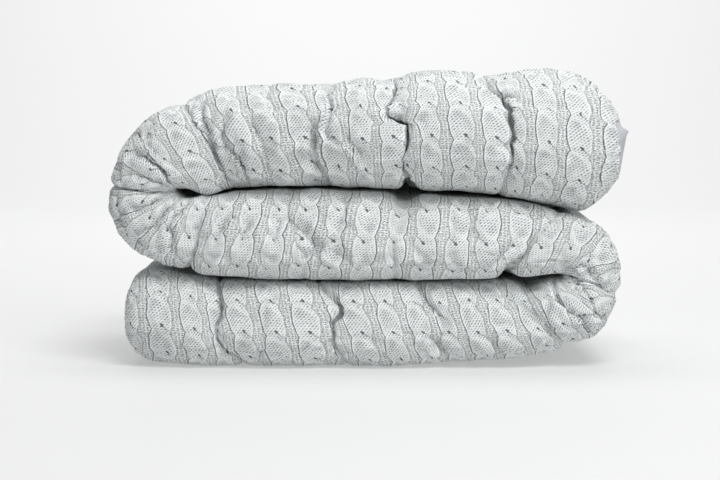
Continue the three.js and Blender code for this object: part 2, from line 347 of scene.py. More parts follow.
# how deep each wall lies under the layer's outline
inset = {
    "skin": ply / 2 - half_free,
    "outer": ply / 2 + half,
    "wrap": 1.5 * ply + PLY_GAP - half,
    "core": 1.5 * ply + PLY_GAP + half,
}


def furrow_room(run):
    """How deep under the skin the next wall must lie, to clear the furrows."""
    room = np.zeros(len(run))
    for seam_at, (_heights, askew, deep, _over) in zip(seam_run, SEAMS):
        beyond = np.maximum(seam_at + askew.min() - run, run - seam_at - askew.max())
        fade = np.exp(-((np.maximum(beyond, 0) / ROOM_FADE) ** 2))
        deepest = CROWN + deep.max() * fade + ROOM_SPARE
        room = np.maximum(room, np.where(beyond < ROOM_REACH, deepest, 0))
    return room


room = furrow_room(run)[:, None]
inset["outer"] = np.maximum(inset["outer"], room)
inset["wrap"] = np.maximum(inset["wrap"], room + WRAP_UNDER)
back = DEPTH - (inset["core"] - inset["skin"]) / 2
print("plies are up to", ply.max().round(1), "mm thick")


# %% Pieces of the outline
def flat_run(wall, face, shares, end):
    """Points along a flat of one wall, `face` 1 above and -1 below, from front to back."""
    a = reach + (end - reach) * shares
    return a, np.broadcast_to(face * (height / 2 - inset[wall]), a.shape)


def front_heights(steps):
    """Angles round a rounded front, and heights on it from -1 to 1."""
    angle = np.linspace(-0.5, 0.5, steps + 1) * math.pi
    return angle, np.sign(angle) * np.abs(np.sin(angle)) ** (2 / FRONT_SQUARE)


def front_bend(wall, steps):
    """Points round the front of one wall, from below to above."""
    angle, lift = front_heights(steps)
    ahead = np.abs(np.cos(angle)) ** (2 / FRONT_SQUARE)
    deep = np.maximum(reach - inset[wall], BEND_LEAST)
    return reach - deep * ahead, (height / 2 - inset[wall]) * lift


def free_edge(end, outer_wall, inner_wall):
    """The rounded, sewn edge of the two lower plies."""
    low = -(height / 2 - inset[outer_wall])
    high = -(height / 2 - inset[inner_wall])
    middle = (low + high) / 2
    thick = (high - low) / 2
    upper = list(EDGE_SECTION)
    lower = [(back_by, -share) for back_by, share in reversed(EDGE_SECTION)]
    a = [end + EDGE_ROUND - back_by + 0 * low for back_by, _share in upper + lower]
    h = [middle + thick * share for _back_by, share in upper + lower]
    return np.hstack(a), np.hstack(h)


def back_fold(steps):
    """The rounded back fold that joins the two upper plies."""
    turn = np.linspace(0, math.pi, steps + 1)[1:-1]
    radius = (inset["core"] - inset["skin"]) / 2
    middle = height / 2 - (inset["core"] + inset["skin"]) / 2
    return back + radius * np.sin(turn), middle + radius * np.cos(turn)


def turned(points):
    """The same points in the other order."""
    return points[0][:, ::-1], points[1][:, ::-1]


def one(a, h):
    """A single point of the outline."""
    return a + 0 * height, h + 0 * height


# %% Outline of one layer
outer_end = DEPTH - FREE_EDGE["outer"] - EDGE_ROUND
inner_end = DEPTH - FREE_EDGE["inner"] - EDGE_ROUND
pieces_of_outline = [
    turned(flat_run("skin", -1, FLAT, outer_end)),
    front_bend("skin", FRONT_STEPS),
    flat_run("skin", 1, FLAT, back),
    back_fold(INNER_STEPS),
    turned(flat_run("core", 1, INSIDE, back)),
    one(inset["core"] + CORE_ROUND, 0),
    flat_run("core", -1, INSIDE, inner_end),
    free_edge(inner_end, "wrap", "core"),
    turned(flat_run("wrap", -1, INSIDE, inner_end)),
    front_bend("wrap", INNER_STEPS),
    flat_run("wrap", 1, INSIDE[1:-1], back),
    one(back, height / 2 - (inset["outer"] + inset["wrap"]) / 2),
    turned(flat_run("outer", 1, INSIDE[1:-1], back)),
    turned(front_bend("outer", INNER_STEPS)),
    flat_run("outer", -1, INSIDE[1:], outer_end),
    free_edge(outer_end, "skin", "outer"),
]
into = np.hstack([p[0] for p in pieces_of_outline])
across = np.hstack([p[1] for p in pieces_of_outline])
SKIN = 2 * len(FLAT) + FRONT_STEPS + 1  # the first points are the face that shows
print("outline of", into.shape[1], "points at", len(run), "places; skin of", SKIN)

# %% [markdown]
# ## Laying the outline along the course
# Each outline stands across the strip, from the under face to the top face, and reaches
# back from the front plane. The distance along the outline from the middle of the front
# is kept for the print.

# %% Places of all points
# how far the front stands back near its under face, and near its top face, at places
# along the cloth
LOW_BACK = [
    (740, 0), (820, 18), (1160, 18), (1240, 0),
    (1460, 0), (1540, 22), (1740, 22), (1820, 8), (2000, 4), (2075, 0),
]
HIGH_BACK = [(0, 0), (40, 20), (520, 20), (620, 0)]
LOW_FADE, HIGH_FADE = 1.6, 2  # how fast that ends up or down the front
BACK_SHORT = 1.5         # a front that stands back shortens the depth by this many times as much
middle_x = (side["top_x"] + side["under_x"]) / 2
middle_z = (side["top_z"] + side["under_z"]) / 2
lean_x = (side["top_x"] - side["under_x"]) / height
lean_z = (side["top_z"] - side["under_z"]) / height
front_y = side["front"] - DEPTH / 2


def lay(a, h):
    """Outline points to places in millimetres, over the solid's origin."""
    x = middle_x + lean_x * h - CENTRE[0]
    y = front_y + a * (DEPTH - BACK_SHORT * side["front"]) / DEPTH - CENTRE[1]
    lift = h / height + 0.5
    low_back, high_back = np.interp(run, *zip(*LOW_BACK)), np.interp(run, *zip(*HIGH_BACK))
    back_by = low_back[:, None] * (1 - lift) ** LOW_FADE
    back_by = back_by + high_back[:, None] * lift ** HIGH_FADE
    y = y + back_by * np.clip(1 - a / DEPTH, 0, 1)
    return np.stack((x, y, middle_z + lean_z * h), axis=-1)


place = lay(into, across)
hop = np.hypot(np.diff(into, axis=1), np.diff(across, axis=1))
arc = np.hstack((np.zeros((len(run), 1)), np.cumsum(hop, axis=1)))
front_middle = len(FLAT) + FRONT_STEPS // 2
arc -= arc[:, front_middle:front_middle + 1].copy()
closing = np.hypot(into[:, -1] - into[:, 0], across[:, -1] - across[:, 0])
print("box of the bare form, mm:", place.min((0, 1)).round(1), place.max((0, 1)).round(1))

# %% [markdown]
# ## Furrows and channels
# The form so far is smooth. On the skin, each seam now gets its furrow and each channel
# its swelling, pushed along the surface's own outward direction. The grid is warped
# first, so that one of its lines follows each askew seam. Faces that a neighbour or the
# floor presses stay flat.

# %% A grid that follows the seams
WANDER = 2.2             # a seam between two handfuls of filling is never quite straight
WANDER_POINTS = 30
WANDER_SEED = 11
BACK_FADE = 2.5          # a seam is straight again toward the back, faster with more

# the height of each point of the skin, -1 on the under face and 1 on the top face
flat_face = np.ones(len(FLAT))
UP = np.concatenate((-flat_face, front_heights(FRONT_STEPS)[1], flat_face))
from_back = np.concatenate((1 - FLAT[::-1], np.ones(FRONT_STEPS + 1), 1 - FLAT))
from_back = np.clip(from_back * BACK_FADE, 0, 1)
askew_grid = np.stack([np.interp(UP, table[0], table[1]) * from_back for table in SEAMS])
draws = np.random.default_rng(WANDER_SEED)
wander = draws.uniform(-WANDER, WANDER, (SEAM_COUNT, WANDER_POINTS))
on_front = np.linspace(0, WANDER_POINTS - 1, SKIN)
askew_grid += from_back * [np.interp(on_front, np.arange(WANDER_POINTS), line) for line in wander]
knots = np.concatenate(([0], seam_run, [RUN_END]))
shifts = np.vstack((0 * UP, askew_grid, 0 * UP))
RUN_GRID = np.stack([run + np.interp(run, knots, shifts[:, j]) for j in range(SKIN)], axis=1)
skin = np.empty((len(run), SKIN, 3))
arc_skin = np.empty((len(run), SKIN))
for j in range(SKIN):
    for axis in range(3):
        skin[:, j, axis] = np.interp(RUN_GRID[:, j], run, place[:, j, axis])
    arc_skin[:, j] = np.interp(RUN_GRID[:, j], run, arc[:, j])
end_grid = np.interp(RUN_GRID, run, end_share)
print("seams lie askew by up to", np.abs(askew_grid).max().round(1), "mm")

# %% Shape of furrows and channels
SHOULDER = 14.0          # how far from a seam the channel's round shoulder reaches
SHARP = 0.55             # share of a furrow's depth in its narrow slit
POCKET = 0.32            # width of the pocket under an overlapping side, in furrow depths
POCKET_SHARP = 0.8       # share of the depth in that pocket
SLIT_WIDE, SLIT_GROWS = 2.6, 0.08  # half width of a slit, and more for each mm of depth
SLIT_STEEP, POCKET_STEEP = 1.5, 6  # how steep their walls are
UNDER_WIDE, TOP_NARROW = 0.8, 0.3  # the shoulder is wider underneath, narrower on top
PRESS_EDGE = 5           # a face is pressed flat up to its edge, more so with more
BULGE_FULL = 0.9         # height on the front at which the next table holds in full
BULGE = [                # (place along the cloth, low side out, high side out)
    (0, -5, -4), (30, -2, -3), (60, 0, -1), (90, 0, 0), (330, 0, 0), (390, -3, 0),
    (446, -6, 0), (502, -9, 0), (600, -9, 0), (628, -6, 0), (650, 0, 0), (665, 3, 0),
    (700, 4, 0), (740, 0, 0), (1240, 0, 0), (1290, 0, 0), (1340, 0, 1), (1375, 0, 2),
    (1410, 0, -2), (1450, 0, -4), (1485, 0, -1), (1530, 0, -2), (1560, 0, -5), (1620, 0, -8),
    (1680, 0, -4), (1737, 0, -3), (1765, 0, -7), (1787, 0, -4), (1820, 0, -3), (1860, 0, -5),
    (1927, 0, -7), (1960, 0, -8), (1985, 0, -6), (2040, 0, -2), (2075, 0, 0),
]
GATHER = 2.4             # height of the small gathers beside a seam
GATHER_LONG = 21.0       # their length along the seam
GATHER_NEAR, GATHER_FAR = 4.0, 16.0  # they start and end so far from it
GATHER_AT = 8.0          # depth of the furrow that has gathers of that height
GATHER_KNOTS = 60
GATHER_SEED = 3
END_RELIEF = 0.25        # share of the relief left at a free end
TOP_FREE = (1205, 1250)  # past here nothing presses the top face
UNDER_FREE = (525, 570)  # past here the floor doesn't press the under face
UNDER_PRESSED = (755, 800)  # and past here a neighbouring layer does


def step_up(value, low, high):
    """0 below `low`, 1 above `high`, and smooth between them."""
    t = np.clip((value - low) / (high - low), 0, 1)
    return t * t * (3 - 2 * t)


top_pressed = 1 - step_up(RUN_GRID, *TOP_FREE)
under_pressed = 1 - step_up(RUN_GRID, *UNDER_FREE) + step_up(RUN_GRID, *UNDER_PRESSED)
pressed = np.where(UP > 0, top_pressed, under_pressed) * np.abs(UP) ** PRESS_EDGE
free_share = 1 - pressed
print("share of the skin that is pressed:", pressed.mean().round(2))


# %% Distance to the seams
def seam_distance():
    """Signed distance to the nearest seam, that seam's depth, overlap and number."""
    best = np.full(RUN_GRID.shape, 1e6)
    deep, over = np.zeros(RUN_GRID.shape), np.zeros(RUN_GRID.shape)
    which = np.zeros(RUN_GRID.shape, int)
    for k, (heights, _askew, seam_deep, seam_over) in enumerate(SEAMS):
        away = (RUN_GRID - seam_run[k] - askew_grid[k]) * squared[k]
        closer = np.abs(away) < np.abs(best)
        best = np.where(closer, away, best)
        deep = np.where(closer, np.interp(UP, heights, seam_deep), deep)
        over = np.where(closer, np.interp(UP, heights, seam_over), over)
        which = np.where(closer, k, which)
    return best, deep, over, which


along_front = np.gradient(askew_grid, axis=1) / np.gradient(np.median(arc_skin, axis=0))
squared = 1 / np.hypot(1, along_front)         # a slanting seam is nearer than it looks
away, furrow_deep, over, which_seam = seam_distance()
print("no point is farther from a seam than", np.abs(away).max().round(), "mm")


# %% Relief of the quilting
def directions(points):
    """Unit directions out of the skin, along the strip and round it."""
    along = np.gradient(points, axis=0)
    around = np.gradient(points, axis=1)
    out = np.cross(around, along)
    for way in (out, along, around):
        way /= np.maximum(np.linalg.norm(way, axis=-1, keepdims=True), 1e-9)
    if out[len(run) // 2, front_middle, 1] > 0:
        out = -out
    return out, along, around


def gathers():
    """Small folds across each seam, different on its two sides."""
    rng = np.random.default_rng(GATHER_SEED)
    total = np.zeros(RUN_GRID.shape)
    knot = arc_skin / GATHER_LONG + GATHER_KNOTS / 2
    for k in range(SEAM_COUNT):
        for way in (-1, 1):
            heights = rng.uniform(-1, 1, GATHER_KNOTS)
            along_seam = np.interp(knot, np.arange(GATHER_KNOTS), heights)
            here = (which_seam == k) & (away * way >= 0)
            total += np.where(here, along_seam, 0)
    return total


out_of, along_of, around_of = directions(skin)
d = np.abs(away)
on_top = np.clip(np.sign(away) * over, 0, 1)   # 1 on the side that lies over the other
under_it = np.clip(-np.sign(away) * over, 0, 1)
share = np.clip(d / (SEAM_PITCH / 2), 0, 1)
swell = -CROWN * (1 - share) ** 2
slit = np.exp(-((d / (SLIT_WIDE + SLIT_GROWS * furrow_deep)) ** SLIT_STEEP))
pocket = np.exp(-((d / (POCKET * furrow_deep + 1)) ** POCKET_STEEP))
sharp = slit + (pocket - slit) * under_it
sharp_share = SHARP + (POCKET_SHARP - SHARP) * under_it
shoulder_wide = SHOULDER * (1 + UNDER_WIDE * under_it - TOP_NARROW * on_top)
shoulder = 1 - np.sqrt(1 - (1 - np.clip(d / shoulder_wide, 0, 1)) ** 2)
dive = -furrow_deep * (sharp_share * sharp + (1 - sharp_share) * shoulder)
gather = GATHER * gathers() * np.exp(-d / GATHER_FAR) * (1 - np.exp(-((d / GATHER_NEAR) ** 2)))
gather *= np.sqrt(furrow_deep / GATHER_AT)
keep = SEAM_PRESSED * pressed + free_share
relief = swell * free_share + dive * keep + gather * free_share
relief *= END_RELIEF + (1 - END_RELIEF) * end_grid ** 2
run_at, low_out, high_out = zip(*BULGE)
bulge = (np.interp(RUN_GRID, run_at, low_out) * step_up(-UP, 0.0, BULGE_FULL)
         + np.interp(RUN_GRID, run_at, high_out) * step_up(UP, 0.0, BULGE_FULL))
skin += (relief + bulge)[..., None] * out_of
print("quilting relief, mm:", relief.min().round(1), "to", relief.max().round(1))

# %% [markdown]
# ## Creases
# Folding a filled duvet crushes it, and the crushed places are what make it look soft.
# The main creases are few enough to list one by one. Each is a short line over the skin,
# given by places along the cloth and heights on the front, with a depth and a width. A
# second table holds round hollows and swellings.

# %% Crease table
CREASES = [
    # name, deep, wide, ((place along the cloth, height on the front), ...)
    ("lower, slant above third seam", 4, 5, ((395, 0.97), (402, 0.65), (412, 0.38), (424, 0.13))),
    ("lower, slant below third seam", 4, 7, ((386, -0.1), (395, -0.45), (404, -0.8))),
    ("lower, small slant", 4, 7, ((460, -0.15), (468, -0.45), (476, -0.75))),
    ("lower, beside fourth seam", 4, 8, ((536, 0.95), (538, 0.3), (543, -0.2), (542, -0.7))),
    ("lower, deep fan", 8, 5, (
        (612, 1.0), (593, 0.87), (581, 0.52), (584, 0.18), (597, -0.18), (594, -0.5), (594, -0.9))),
    ("lower, hollow under the bend", 4, 14, ((470, 0.9), (500, 0.8), (530, 0.86))),
    ("right bend, flap", 6, 4, (
        (730, 0.95), (720, 0.7), (716, 0.39), (704, 0.18), (684, 0.08), (667, -0.26))),
    ("right bend, groove", 7, 5, ((690, 0.95), (656, 0.65), (648, 0.3), (636, -0.08))),
    ("right bend, deep end", 8, 4, ((640, 0.3), (630, 0.0), (622, -0.35), (622, -0.6), (632, -0.9))),
    ("middle, above pucker", 5, 7, ((850, 0.5), (835, 0.1), (826, -0.3))),
    ("middle, furrow", 5, 7, ((892, -0.85), (885, -0.37), (884, 0.25))),
    ("middle, soft fold", 4, 8, ((1048, -0.95), (1045, -0.5), (1044, 0.1))),
    ("middle, left soft fold", 4, 7, ((1122, -0.5), (1126, 0.1))),
    ("middle, left soft fold 2", 4, 7, ((1166, -0.5), (1164, 0.1))),
    ("middle, thin line", 4, 4, ((1190, -0.45), (1195, -0.13), (1198, 0.2))),
    ("middle, short fold", 5, 4, ((1195, -0.5), (1198, 0.03))),
    ("middle, short fold 2", 4, 4, ((1168, -0.24), (1170, 0.21))),
    ("middle, long slant", 6, 6, ((1110, -0.42), (1090, -0.1), (1075, 0.19), (1078, 0.5))),
    ("middle, flat fold", 4, 5, ((1142, -0.47), (1120, -0.37))),
    ("middle, bent fold", 5, 6, ((1048, -0.26), (1052, 0.32), (1035, 0.5))),
    ("middle, low fold", 4, 5, ((1062, 0.06), (1068, 0.6))),
    ("middle, high fold", 4, 5, ((1140, -0.24), (1125, 0.15))),
    ("left bend, deep groove", 9, 5, (
        (1262, -0.95), (1268, -0.77), (1276, -0.5), (1276, -0.18), (1267, 0.1), (1260, 0.5))),
    ("left bend, short slit", 5, 3, ((1353, 0.4), (1350, 0.2), (1347, -0.12))),
    ("left bend, fan", 6, 4, ((1338, 0.9), (1344, 0.46), (1340, 0.1), (1342, -0.3), (1354, -0.8))),
    ("left bend, low fan", 5, 6, ((1308, 0.6), (1304, 0.1), (1302, -0.3), (1306, -0.8))),
    ("left bend, upper fan", 4, 6, ((1404, 0.3), (1408, -0.3), (1410, -0.8))),
    ("left bend, level line", 4, 3, ((1381, 0.95), (1379, 0.52), (1376, 0.0), (1380, -0.33))),
    ("left bend, long pinch", 10, 5, (
        (1432, 0.52), (1439, 0.18), (1442, -0.1), (1446, -0.33), (1436, -0.72), (1428, -0.92))),
    ("upper, left side of the pucker", 7, 4, (
        (1542, 0.8), (1536, 0.46), (1538, 0.18), (1532, -0.26), (1531, -0.6))),
    ("upper, right side of the pucker", 7, 4, ((1568, 0.45), (1560, 0.2), (1554, 0.0), (1552, -0.2))),
    ("upper, deep slit", 10, 3, (
        (1556, -0.14), (1561, -0.33), (1567, -0.55), (1564, -0.78), (1562, -0.95))),
    ("upper, soft fold", 5, 9, ((1598, 0.5), (1599, 0.1), (1602, -0.3), (1598, -0.9))),
    ("upper, thin slit", 6, 3, ((1694, 0.85), (1694, 0.5), (1689, 0.26), (1680, -0.08))),
    ("upper, valley", 7, 5, ((1668, 0.15), (1664, -0.18), (1659, -0.4), (1662, -0.68), (1674, -0.84))),
    ("upper, tuck", 5, 6, ((1710, -0.08), (1719, -0.3), (1728, -0.5))),
    ("upper, small fold", 4, 4, ((1678, 0.08), (1692, -0.19))),
    ("upper, low fold", 5, 6, ((1642, -0.45), (1660, -0.71))),
    ("upper, fold by the last seam", 6, 4, ((1942, 0.64), (1952, 0.72), (1963, 0.66), (1967, 0.54))),
    ("upper, fold by the last seam 2", 4, 4, ((1944, 0.5), (1959, 0.47))),
    ("upper, low dent", 6, 9, ((1566, -0.9), (1590, -0.96))),
    ("upper, low dent 2", 5, 10, ((1640, -0.9), (1676, -0.96))),
]
print(len(CREASES), "creases in the table")

# %% Hollow table
HOLLOWS = [
    # name, place along the cloth, height on the front, deep, wide along, wide round;
    # a swelling has a negative depth
    ("upper, foot of its first deep seam", 1803, -1.0, 13, 13, 30),
    ("upper, open part of that seam", 1805, 0.02, 7, 5, 20),
    ("upper, knob beside that seam", 1787, 0.38, -5, 9, 9),
    ("upper, sag at the left bend", 1500, -0.95, -7, 22, 22),
    ("upper, low tuck", 1662, -0.96, 6, 12, 12),
    ("middle, under the upper layer's seam", 972, -1.0, 9, 17, 60),
    ("middle, against the upper layer behind that", 972, -2.3, -13, 24, 26),
    ("middle, notch in its lower edge", 829, 1.0, 11, 13, 50),
    ("middle, swelling at the left bend", 1240, -1.0, -3, 24, 24),
    ("lower, dip at the right bend", 552, 1.0, 9, 18, 50),
]
BEHIND = 100.0           # a height of 1.3 is 30 mm behind the edge of the top face
print(len(HOLLOWS), "hollows and swellings")

# %% Creases and hollows on the skin
CREASE_STRONG = 1.5      # all crease depths of the table times this
CREASE_DEEPEST = 13.0    # creases that cross add up to no more than this
CREASE_LIPS = 0.5        # how far the sides lean in, in crease depths
CREASE_ENDS = (0.35, 0.65)  # share of the depth at its two ends, and the rest
CREASE_SHARP = (0.7, 0.8)   # share of the depth in the groove, its half width in widths
CREASE_SOFT = (0.3, 2)      # the same for the soft valley round it
CREASE_RISE = (0.35, 2.2)   # height of the swelling beside it, and how far out
CREASE_PULL = (0.8, 1.6)    # share of the way that a side may go, how far out it fades
PRESSED_GIVES = 0.3      # share of a crease that a pressed face keeps


def arc_at(at, lift):
    """The place round the front, as a length, of a height at one place of the cloth."""
    i = int(np.argmin(np.abs(run - at)))
    inner = slice(len(FLAT), SKIN - len(FLAT))
    behind = np.sign(lift) * max(abs(lift) - 1, 0) * BEHIND
    return np.interp(lift, UP[inner], arc[i, inner]) + behind


def hollow_field():
    """How far all hollows push the skin in, in millimetres."""
    push = np.zeros(RUN_GRID.shape)
    for _name, at, lift, deep, wide, wide_round in HOLLOWS:
        far = np.hypot((RUN_GRID - at) / wide, (arc_skin - arc_at(at, lift)) / wide_round)
        push += deep * np.exp(-(far ** 2))
    return push


def crease_fields():
    """How far all creases push the skin in, and pull it along and round, in millimetres."""
    push = np.zeros(RUN_GRID.shape)
    pull_along = np.zeros(RUN_GRID.shape)
    pull_around = np.zeros(RUN_GRID.shape)
    ends, rest = CREASE_ENDS
    sharp, sharp_wide = CREASE_SHARP
    soft, soft_wide = CREASE_SOFT
    rise, rise_out = CREASE_RISE
    most, pull_wide = CREASE_PULL
    for _name, deep, wide, line in CREASES:
        spots = [(at, arc_at(at, lift)) for at, lift in line]
        lengths = [math.dist(a, b) for a, b in zip(spots, spots[1:])]
        whole = sum(lengths)
        best = np.full(RUN_GRID.shape, 1e6)
        where = np.zeros(RUN_GRID.shape)
        to_run = np.zeros(RUN_GRID.shape)
        to_arc = np.zeros(RUN_GRID.shape)
        gone = 0.0
        for (a_run, a_arc), (b_run, b_arc), length in zip(spots, spots[1:], lengths):
            t = ((RUN_GRID - a_run) * (b_run - a_run) + (arc_skin - a_arc) * (b_arc - a_arc))
            t = np.clip(t / length**2, 0, 1)
            run_off = a_run + t * (b_run - a_run) - RUN_GRID
            arc_off = a_arc + t * (b_arc - a_arc) - arc_skin
            d = np.hypot(run_off, arc_off)
            closer = d < best
            where = np.where(closer, (gone + t * length) / whole, where)
            to_run = np.where(closer, run_off, to_run)
            to_arc = np.where(closer, arc_off, to_arc)
            best = np.minimum(best, d)
            gone += length
        fade = ends + rest * np.sin(math.pi * np.clip(where, 0, 1)) ** 0.7
        groove = sharp * np.exp(-best / (sharp_wide * wide))
        valley = soft * np.exp(-((best / (soft_wide * wide)) ** 2))
        lip = rise * np.exp(-(((best - rise_out * wide) / wide) ** 2))
        strong = CREASE_STRONG * deep * fade
        push += strong * (groove + valley - lip)
        lean_in = CREASE_LIPS * np.abs(strong) * np.exp(-best / (pull_wide * wide))
        pull = np.minimum(most * best, lean_in)
        pull_along += pull * to_run / np.maximum(best, 1e-6)
        pull_around += pull * to_arc / np.maximum(best, 1e-6)
    return push, pull_along, pull_around


pushed, pull_along, pull_around = crease_fields()
out_of, along_of, around_of = directions(skin)
pushed = np.where(pushed > 0, CREASE_DEEPEST * np.tanh(pushed / CREASE_DEEPEST), pushed)
give = PRESSED_GIVES + (1 - PRESSED_GIVES) * free_share
skin -= (pushed * give + hollow_field())[..., None] * out_of
print("deepest crease", pushed.max().round(1), "mm")

# %% [markdown]
# ## Letting the cloth wrinkle
# The listed creases give the large forms. The small gathers come from a cloth
# simulation: the skin gets a little more cloth than its shape needs, as it has where
# filling and seams draw it in, and a little air pressure from inside stands for the
# filling. Seams, borders and pressed faces are pinned, and the rest is held softly near
# its place. No gravity acts, so the folded shape stays.

# %% Cloth settings
SLACK = 0.10             # cloth longer than its shape
HOLD = [                 # how firmly the free cloth keeps its place, along the cloth
    (0, 0.5), (110, 0.45), (170, 0.3), (560, 0.3), (700, 0.28), (850, 0.25), (1500, 0.25),
    (1760, 0.3), (1830, 0.5), (1900, 0.5), (1934, 0.4), (1980, 0.5), (2075, 0.5),
]
CLOTH = {
    "quality": 5,
    "mass": 0.15,
    "tension_stiffness": 20,
    "compression_stiffness": 20,
    "shear_stiffness": 8,
    "bending_stiffness": 0.2,
    "tension_damping": 8,
    "compression_damping": 8,
    "shear_damping": 5,
    "bending_damping": 0.5,
    "air_damping": 2,
    "vertex_group_mass": "firm",
    "pin_stiffness": 1.0,
    "shrink_min": -SLACK,
    "use_pressure": True,
    "uniform_pressure_force": 0.4,  # stands for the filling
}
STEPS = 20
FIRM_LEVELS = 50         # the solver gets the hold in so many steps
FARTHEST = 9.0           # no point moves farther than this
KEEP_SIZE = 0.8          # share of the smooth swelling that is taken back
SWELLING = (12, 10)      # a swelling is smooth over so many rows and columns each way
SEED = 7
STIR, STIR_WIDE = 1.2, 5  # height and width, in grid points, of the first small ripples
SEAM_HOLD, PRESSED_HOLD = 1.2, 1.3  # past 1, the cloth just beside is pinned as well
SEAM_PINNED = 3.5        # cloth so near to a seam hardly moves
SEAM_STILL = 7.0         # what the solver moved fades to nothing over this toward a seam
SEAM_NO_SLIDE = 12.0     # sideways moves fade toward a seam over this
print("solver takes", STEPS, "steps")


# %% Cloth helpers
def smooth_noise(shape, step, seed):
    """Random heights between -1 and 1 that change over about `step` grid points."""
    rng = np.random.default_rng(seed)
    coarse = rng.uniform(-1, 1, (shape[0] // step + 3, shape[1] // step + 3))
    down = np.arange(shape[0]) / step
    right = np.arange(shape[1]) / step
    i, j = down.astype(int), right.astype(int)
    s, t = (down - i)[:, None], (right - j)[None, :]
    s, t = s * s * (3 - 2 * s), t * t * (3 - 2 * t)
    corner = [coarse[np.ix_(i + a, j + b)] for a in (0, 1) for b in (0, 1)]
    return ((corner[0] * (1 - t) + corner[1] * t) * (1 - s)
            + (corner[2] * (1 - t) + corner[3] * t) * s)


def wrinkled(points, firm):
    """The points of a grid after a short cloth simulation; `firm` 1 pins a point."""
    n_row, n_col = points.shape[:2]
    number = np.arange(n_row * n_col).reshape(n_row, n_col)
    quads = np.stack((number[:-1, :-1], number[1:, :-1], number[1:, 1:], number[:-1, 1:]), axis=-1)
    mesh = bpy.data.meshes.new("cloth_in_work")
    mesh.from_pydata((points.reshape(-1, 3) * MM).tolist(), [], quads.reshape(-1, 4).tolist())
    work = added("cloth_in_work", mesh)
    group = work.vertex_groups.new(name="firm")
    levels = np.round(firm.ravel() * FIRM_LEVELS) / FIRM_LEVELS
    for level in np.unique(levels):
        group.add(np.nonzero(levels == level)[0].tolist(), float(level), "REPLACE")
    cloth_tool = work.modifiers.new("Cloth", "CLOTH")
    for name, value in CLOTH.items():
        setattr(cloth_tool.settings, name, value)
    cloth_tool.settings.effector_weights.gravity = 0
    cloth_tool.collision_settings.use_collision = False
    cloth_tool.point_cache.frame_start = 1
    cloth_tool.point_cache.frame_end = STEPS
    scene = bpy.context.scene
    for frame_now in range(1, STEPS + 1):
        scene.frame_set(frame_now)
    seen = work.evaluated_get(bpy.context.evaluated_depsgraph_get())
    flat = np.empty(points.size)
    seen.data.vertices.foreach_get("co", flat)
    bpy.data.objects.remove(work)
    bpy.data.meshes.remove(mesh)
    scene.frame_set(1)
    return flat.reshape(points.shape) / MM


def blurred(values, rows, cols):
    """A grid averaged over a window of rows and columns."""
    for axis, reach_out in ((0, rows), (1, cols)):
        wide = 2 * reach_out + 1
        pad = [(0, 0)] * values.ndim
        pad[axis] = (reach_out + 1, reach_out)
        total = np.cumsum(np.pad(values, pad, mode="edge"), axis=axis)
        length = values.shape[axis]
        low = np.take(total, np.arange(length), axis=axis)
        high = np.take(total, np.arange(wide, length + wide), axis=axis)
        values = (high - low) / wide
    return values


# %% Cloth simulation
firm = np.interp(RUN_GRID, *zip(*HOLD))
firm = np.maximum(firm, np.exp(-((away / SEAM_PINNED) ** 2)) * SEAM_HOLD)
firm = np.maximum(firm, pressed * PRESSED_HOLD)
firm = np.clip(firm, 0, 1)
firm[:2] = firm[-2:] = 1
firm[:, :2] = firm[:, -2:] = 1
print("mean hold", firm.mean().round(2))
started = time.time()
ripples = smooth_noise(skin.shape[:2], STIR_WIDE, SEED)
stirred = skin + STIR * ripples[..., None] * out_of
moved = wrinkled(stirred, firm) - skin
rise = (moved * out_of).sum(axis=-1)
swollen = blurred(blurred(rise, *SWELLING), *SWELLING)
moved -= KEEP_SIZE * swollen[..., None] * out_of
sideways = (moved * along_of).sum(axis=-1) * np.exp(-((d / SEAM_NO_SLIDE) ** 2))
moved -= sideways[..., None] * along_of
moved *= (1 - np.exp(-((d / SEAM_STILL) ** 2)))[..., None]
length = np.linalg.norm(moved, axis=-1, keepdims=True)
moved *= FARTHEST * np.tanh(length / FARTHEST) / np.maximum(length, 1e-9)
skin = skin + moved
length = np.linalg.norm(moved, axis=-1)
print("cloth moved, mm: mean", length.mean().round(2), "farthest", length.max().round(1))
print("cloth simulation took", round(time.time() - started), "s")

# %% [markdown]
# ## Closing the furrows
# A furrow is not only a dent: the full cloth on both sides leans over it and nearly
# closes it. So last of all the cloth beside each furrow and crease slides toward it,
# until round lips stand over a narrow dark slit, as where a filled cover is stitched.

# %% Lips
LIPS = 0.45              # how far the lips of a furrow lean in, in furrow depths
LIPS_GROW, LIPS_FROM = 0.04, 8.0  # and more for each mm that it is deeper than this
LIPS_LONG = 12.0         # the lean fades over this length beside the seam
TOP_LEANS, UNDER_STAYS = 0.3, 0.55  # more lean on top, and less underneath
CLOSE = 0.86             # share of the way to the seam that a lip may go
TOP_CLOSE, UNDER_CLOSE = 0.14, 0.26  # more of it on top, and less underneath
OVERLAP = 1.0            # how far a side that lies on top reaches past its seam
OVERLAP_LONG = 4.0
lean = (LIPS + LIPS_GROW * np.maximum(furrow_deep - LIPS_FROM, 0)) * furrow_deep
lean = lean * np.exp(-d / LIPS_LONG)
lean *= 1 + TOP_LEANS * on_top - UNDER_STAYS * under_it
farthest = (CLOSE + TOP_CLOSE * on_top - UNDER_CLOSE * under_it) * d
farthest += OVERLAP * on_top * (1 - np.exp(-d / OVERLAP_LONG))
slide = -np.sign(away) * np.minimum(farthest, lean) * free_share
skin += slide[..., None] * along_of
skin += (pull_along * give)[..., None] * along_of + (pull_around * give)[..., None] * around_of
print("lips moved by up to", np.abs(slide).max().round(1), "mm")

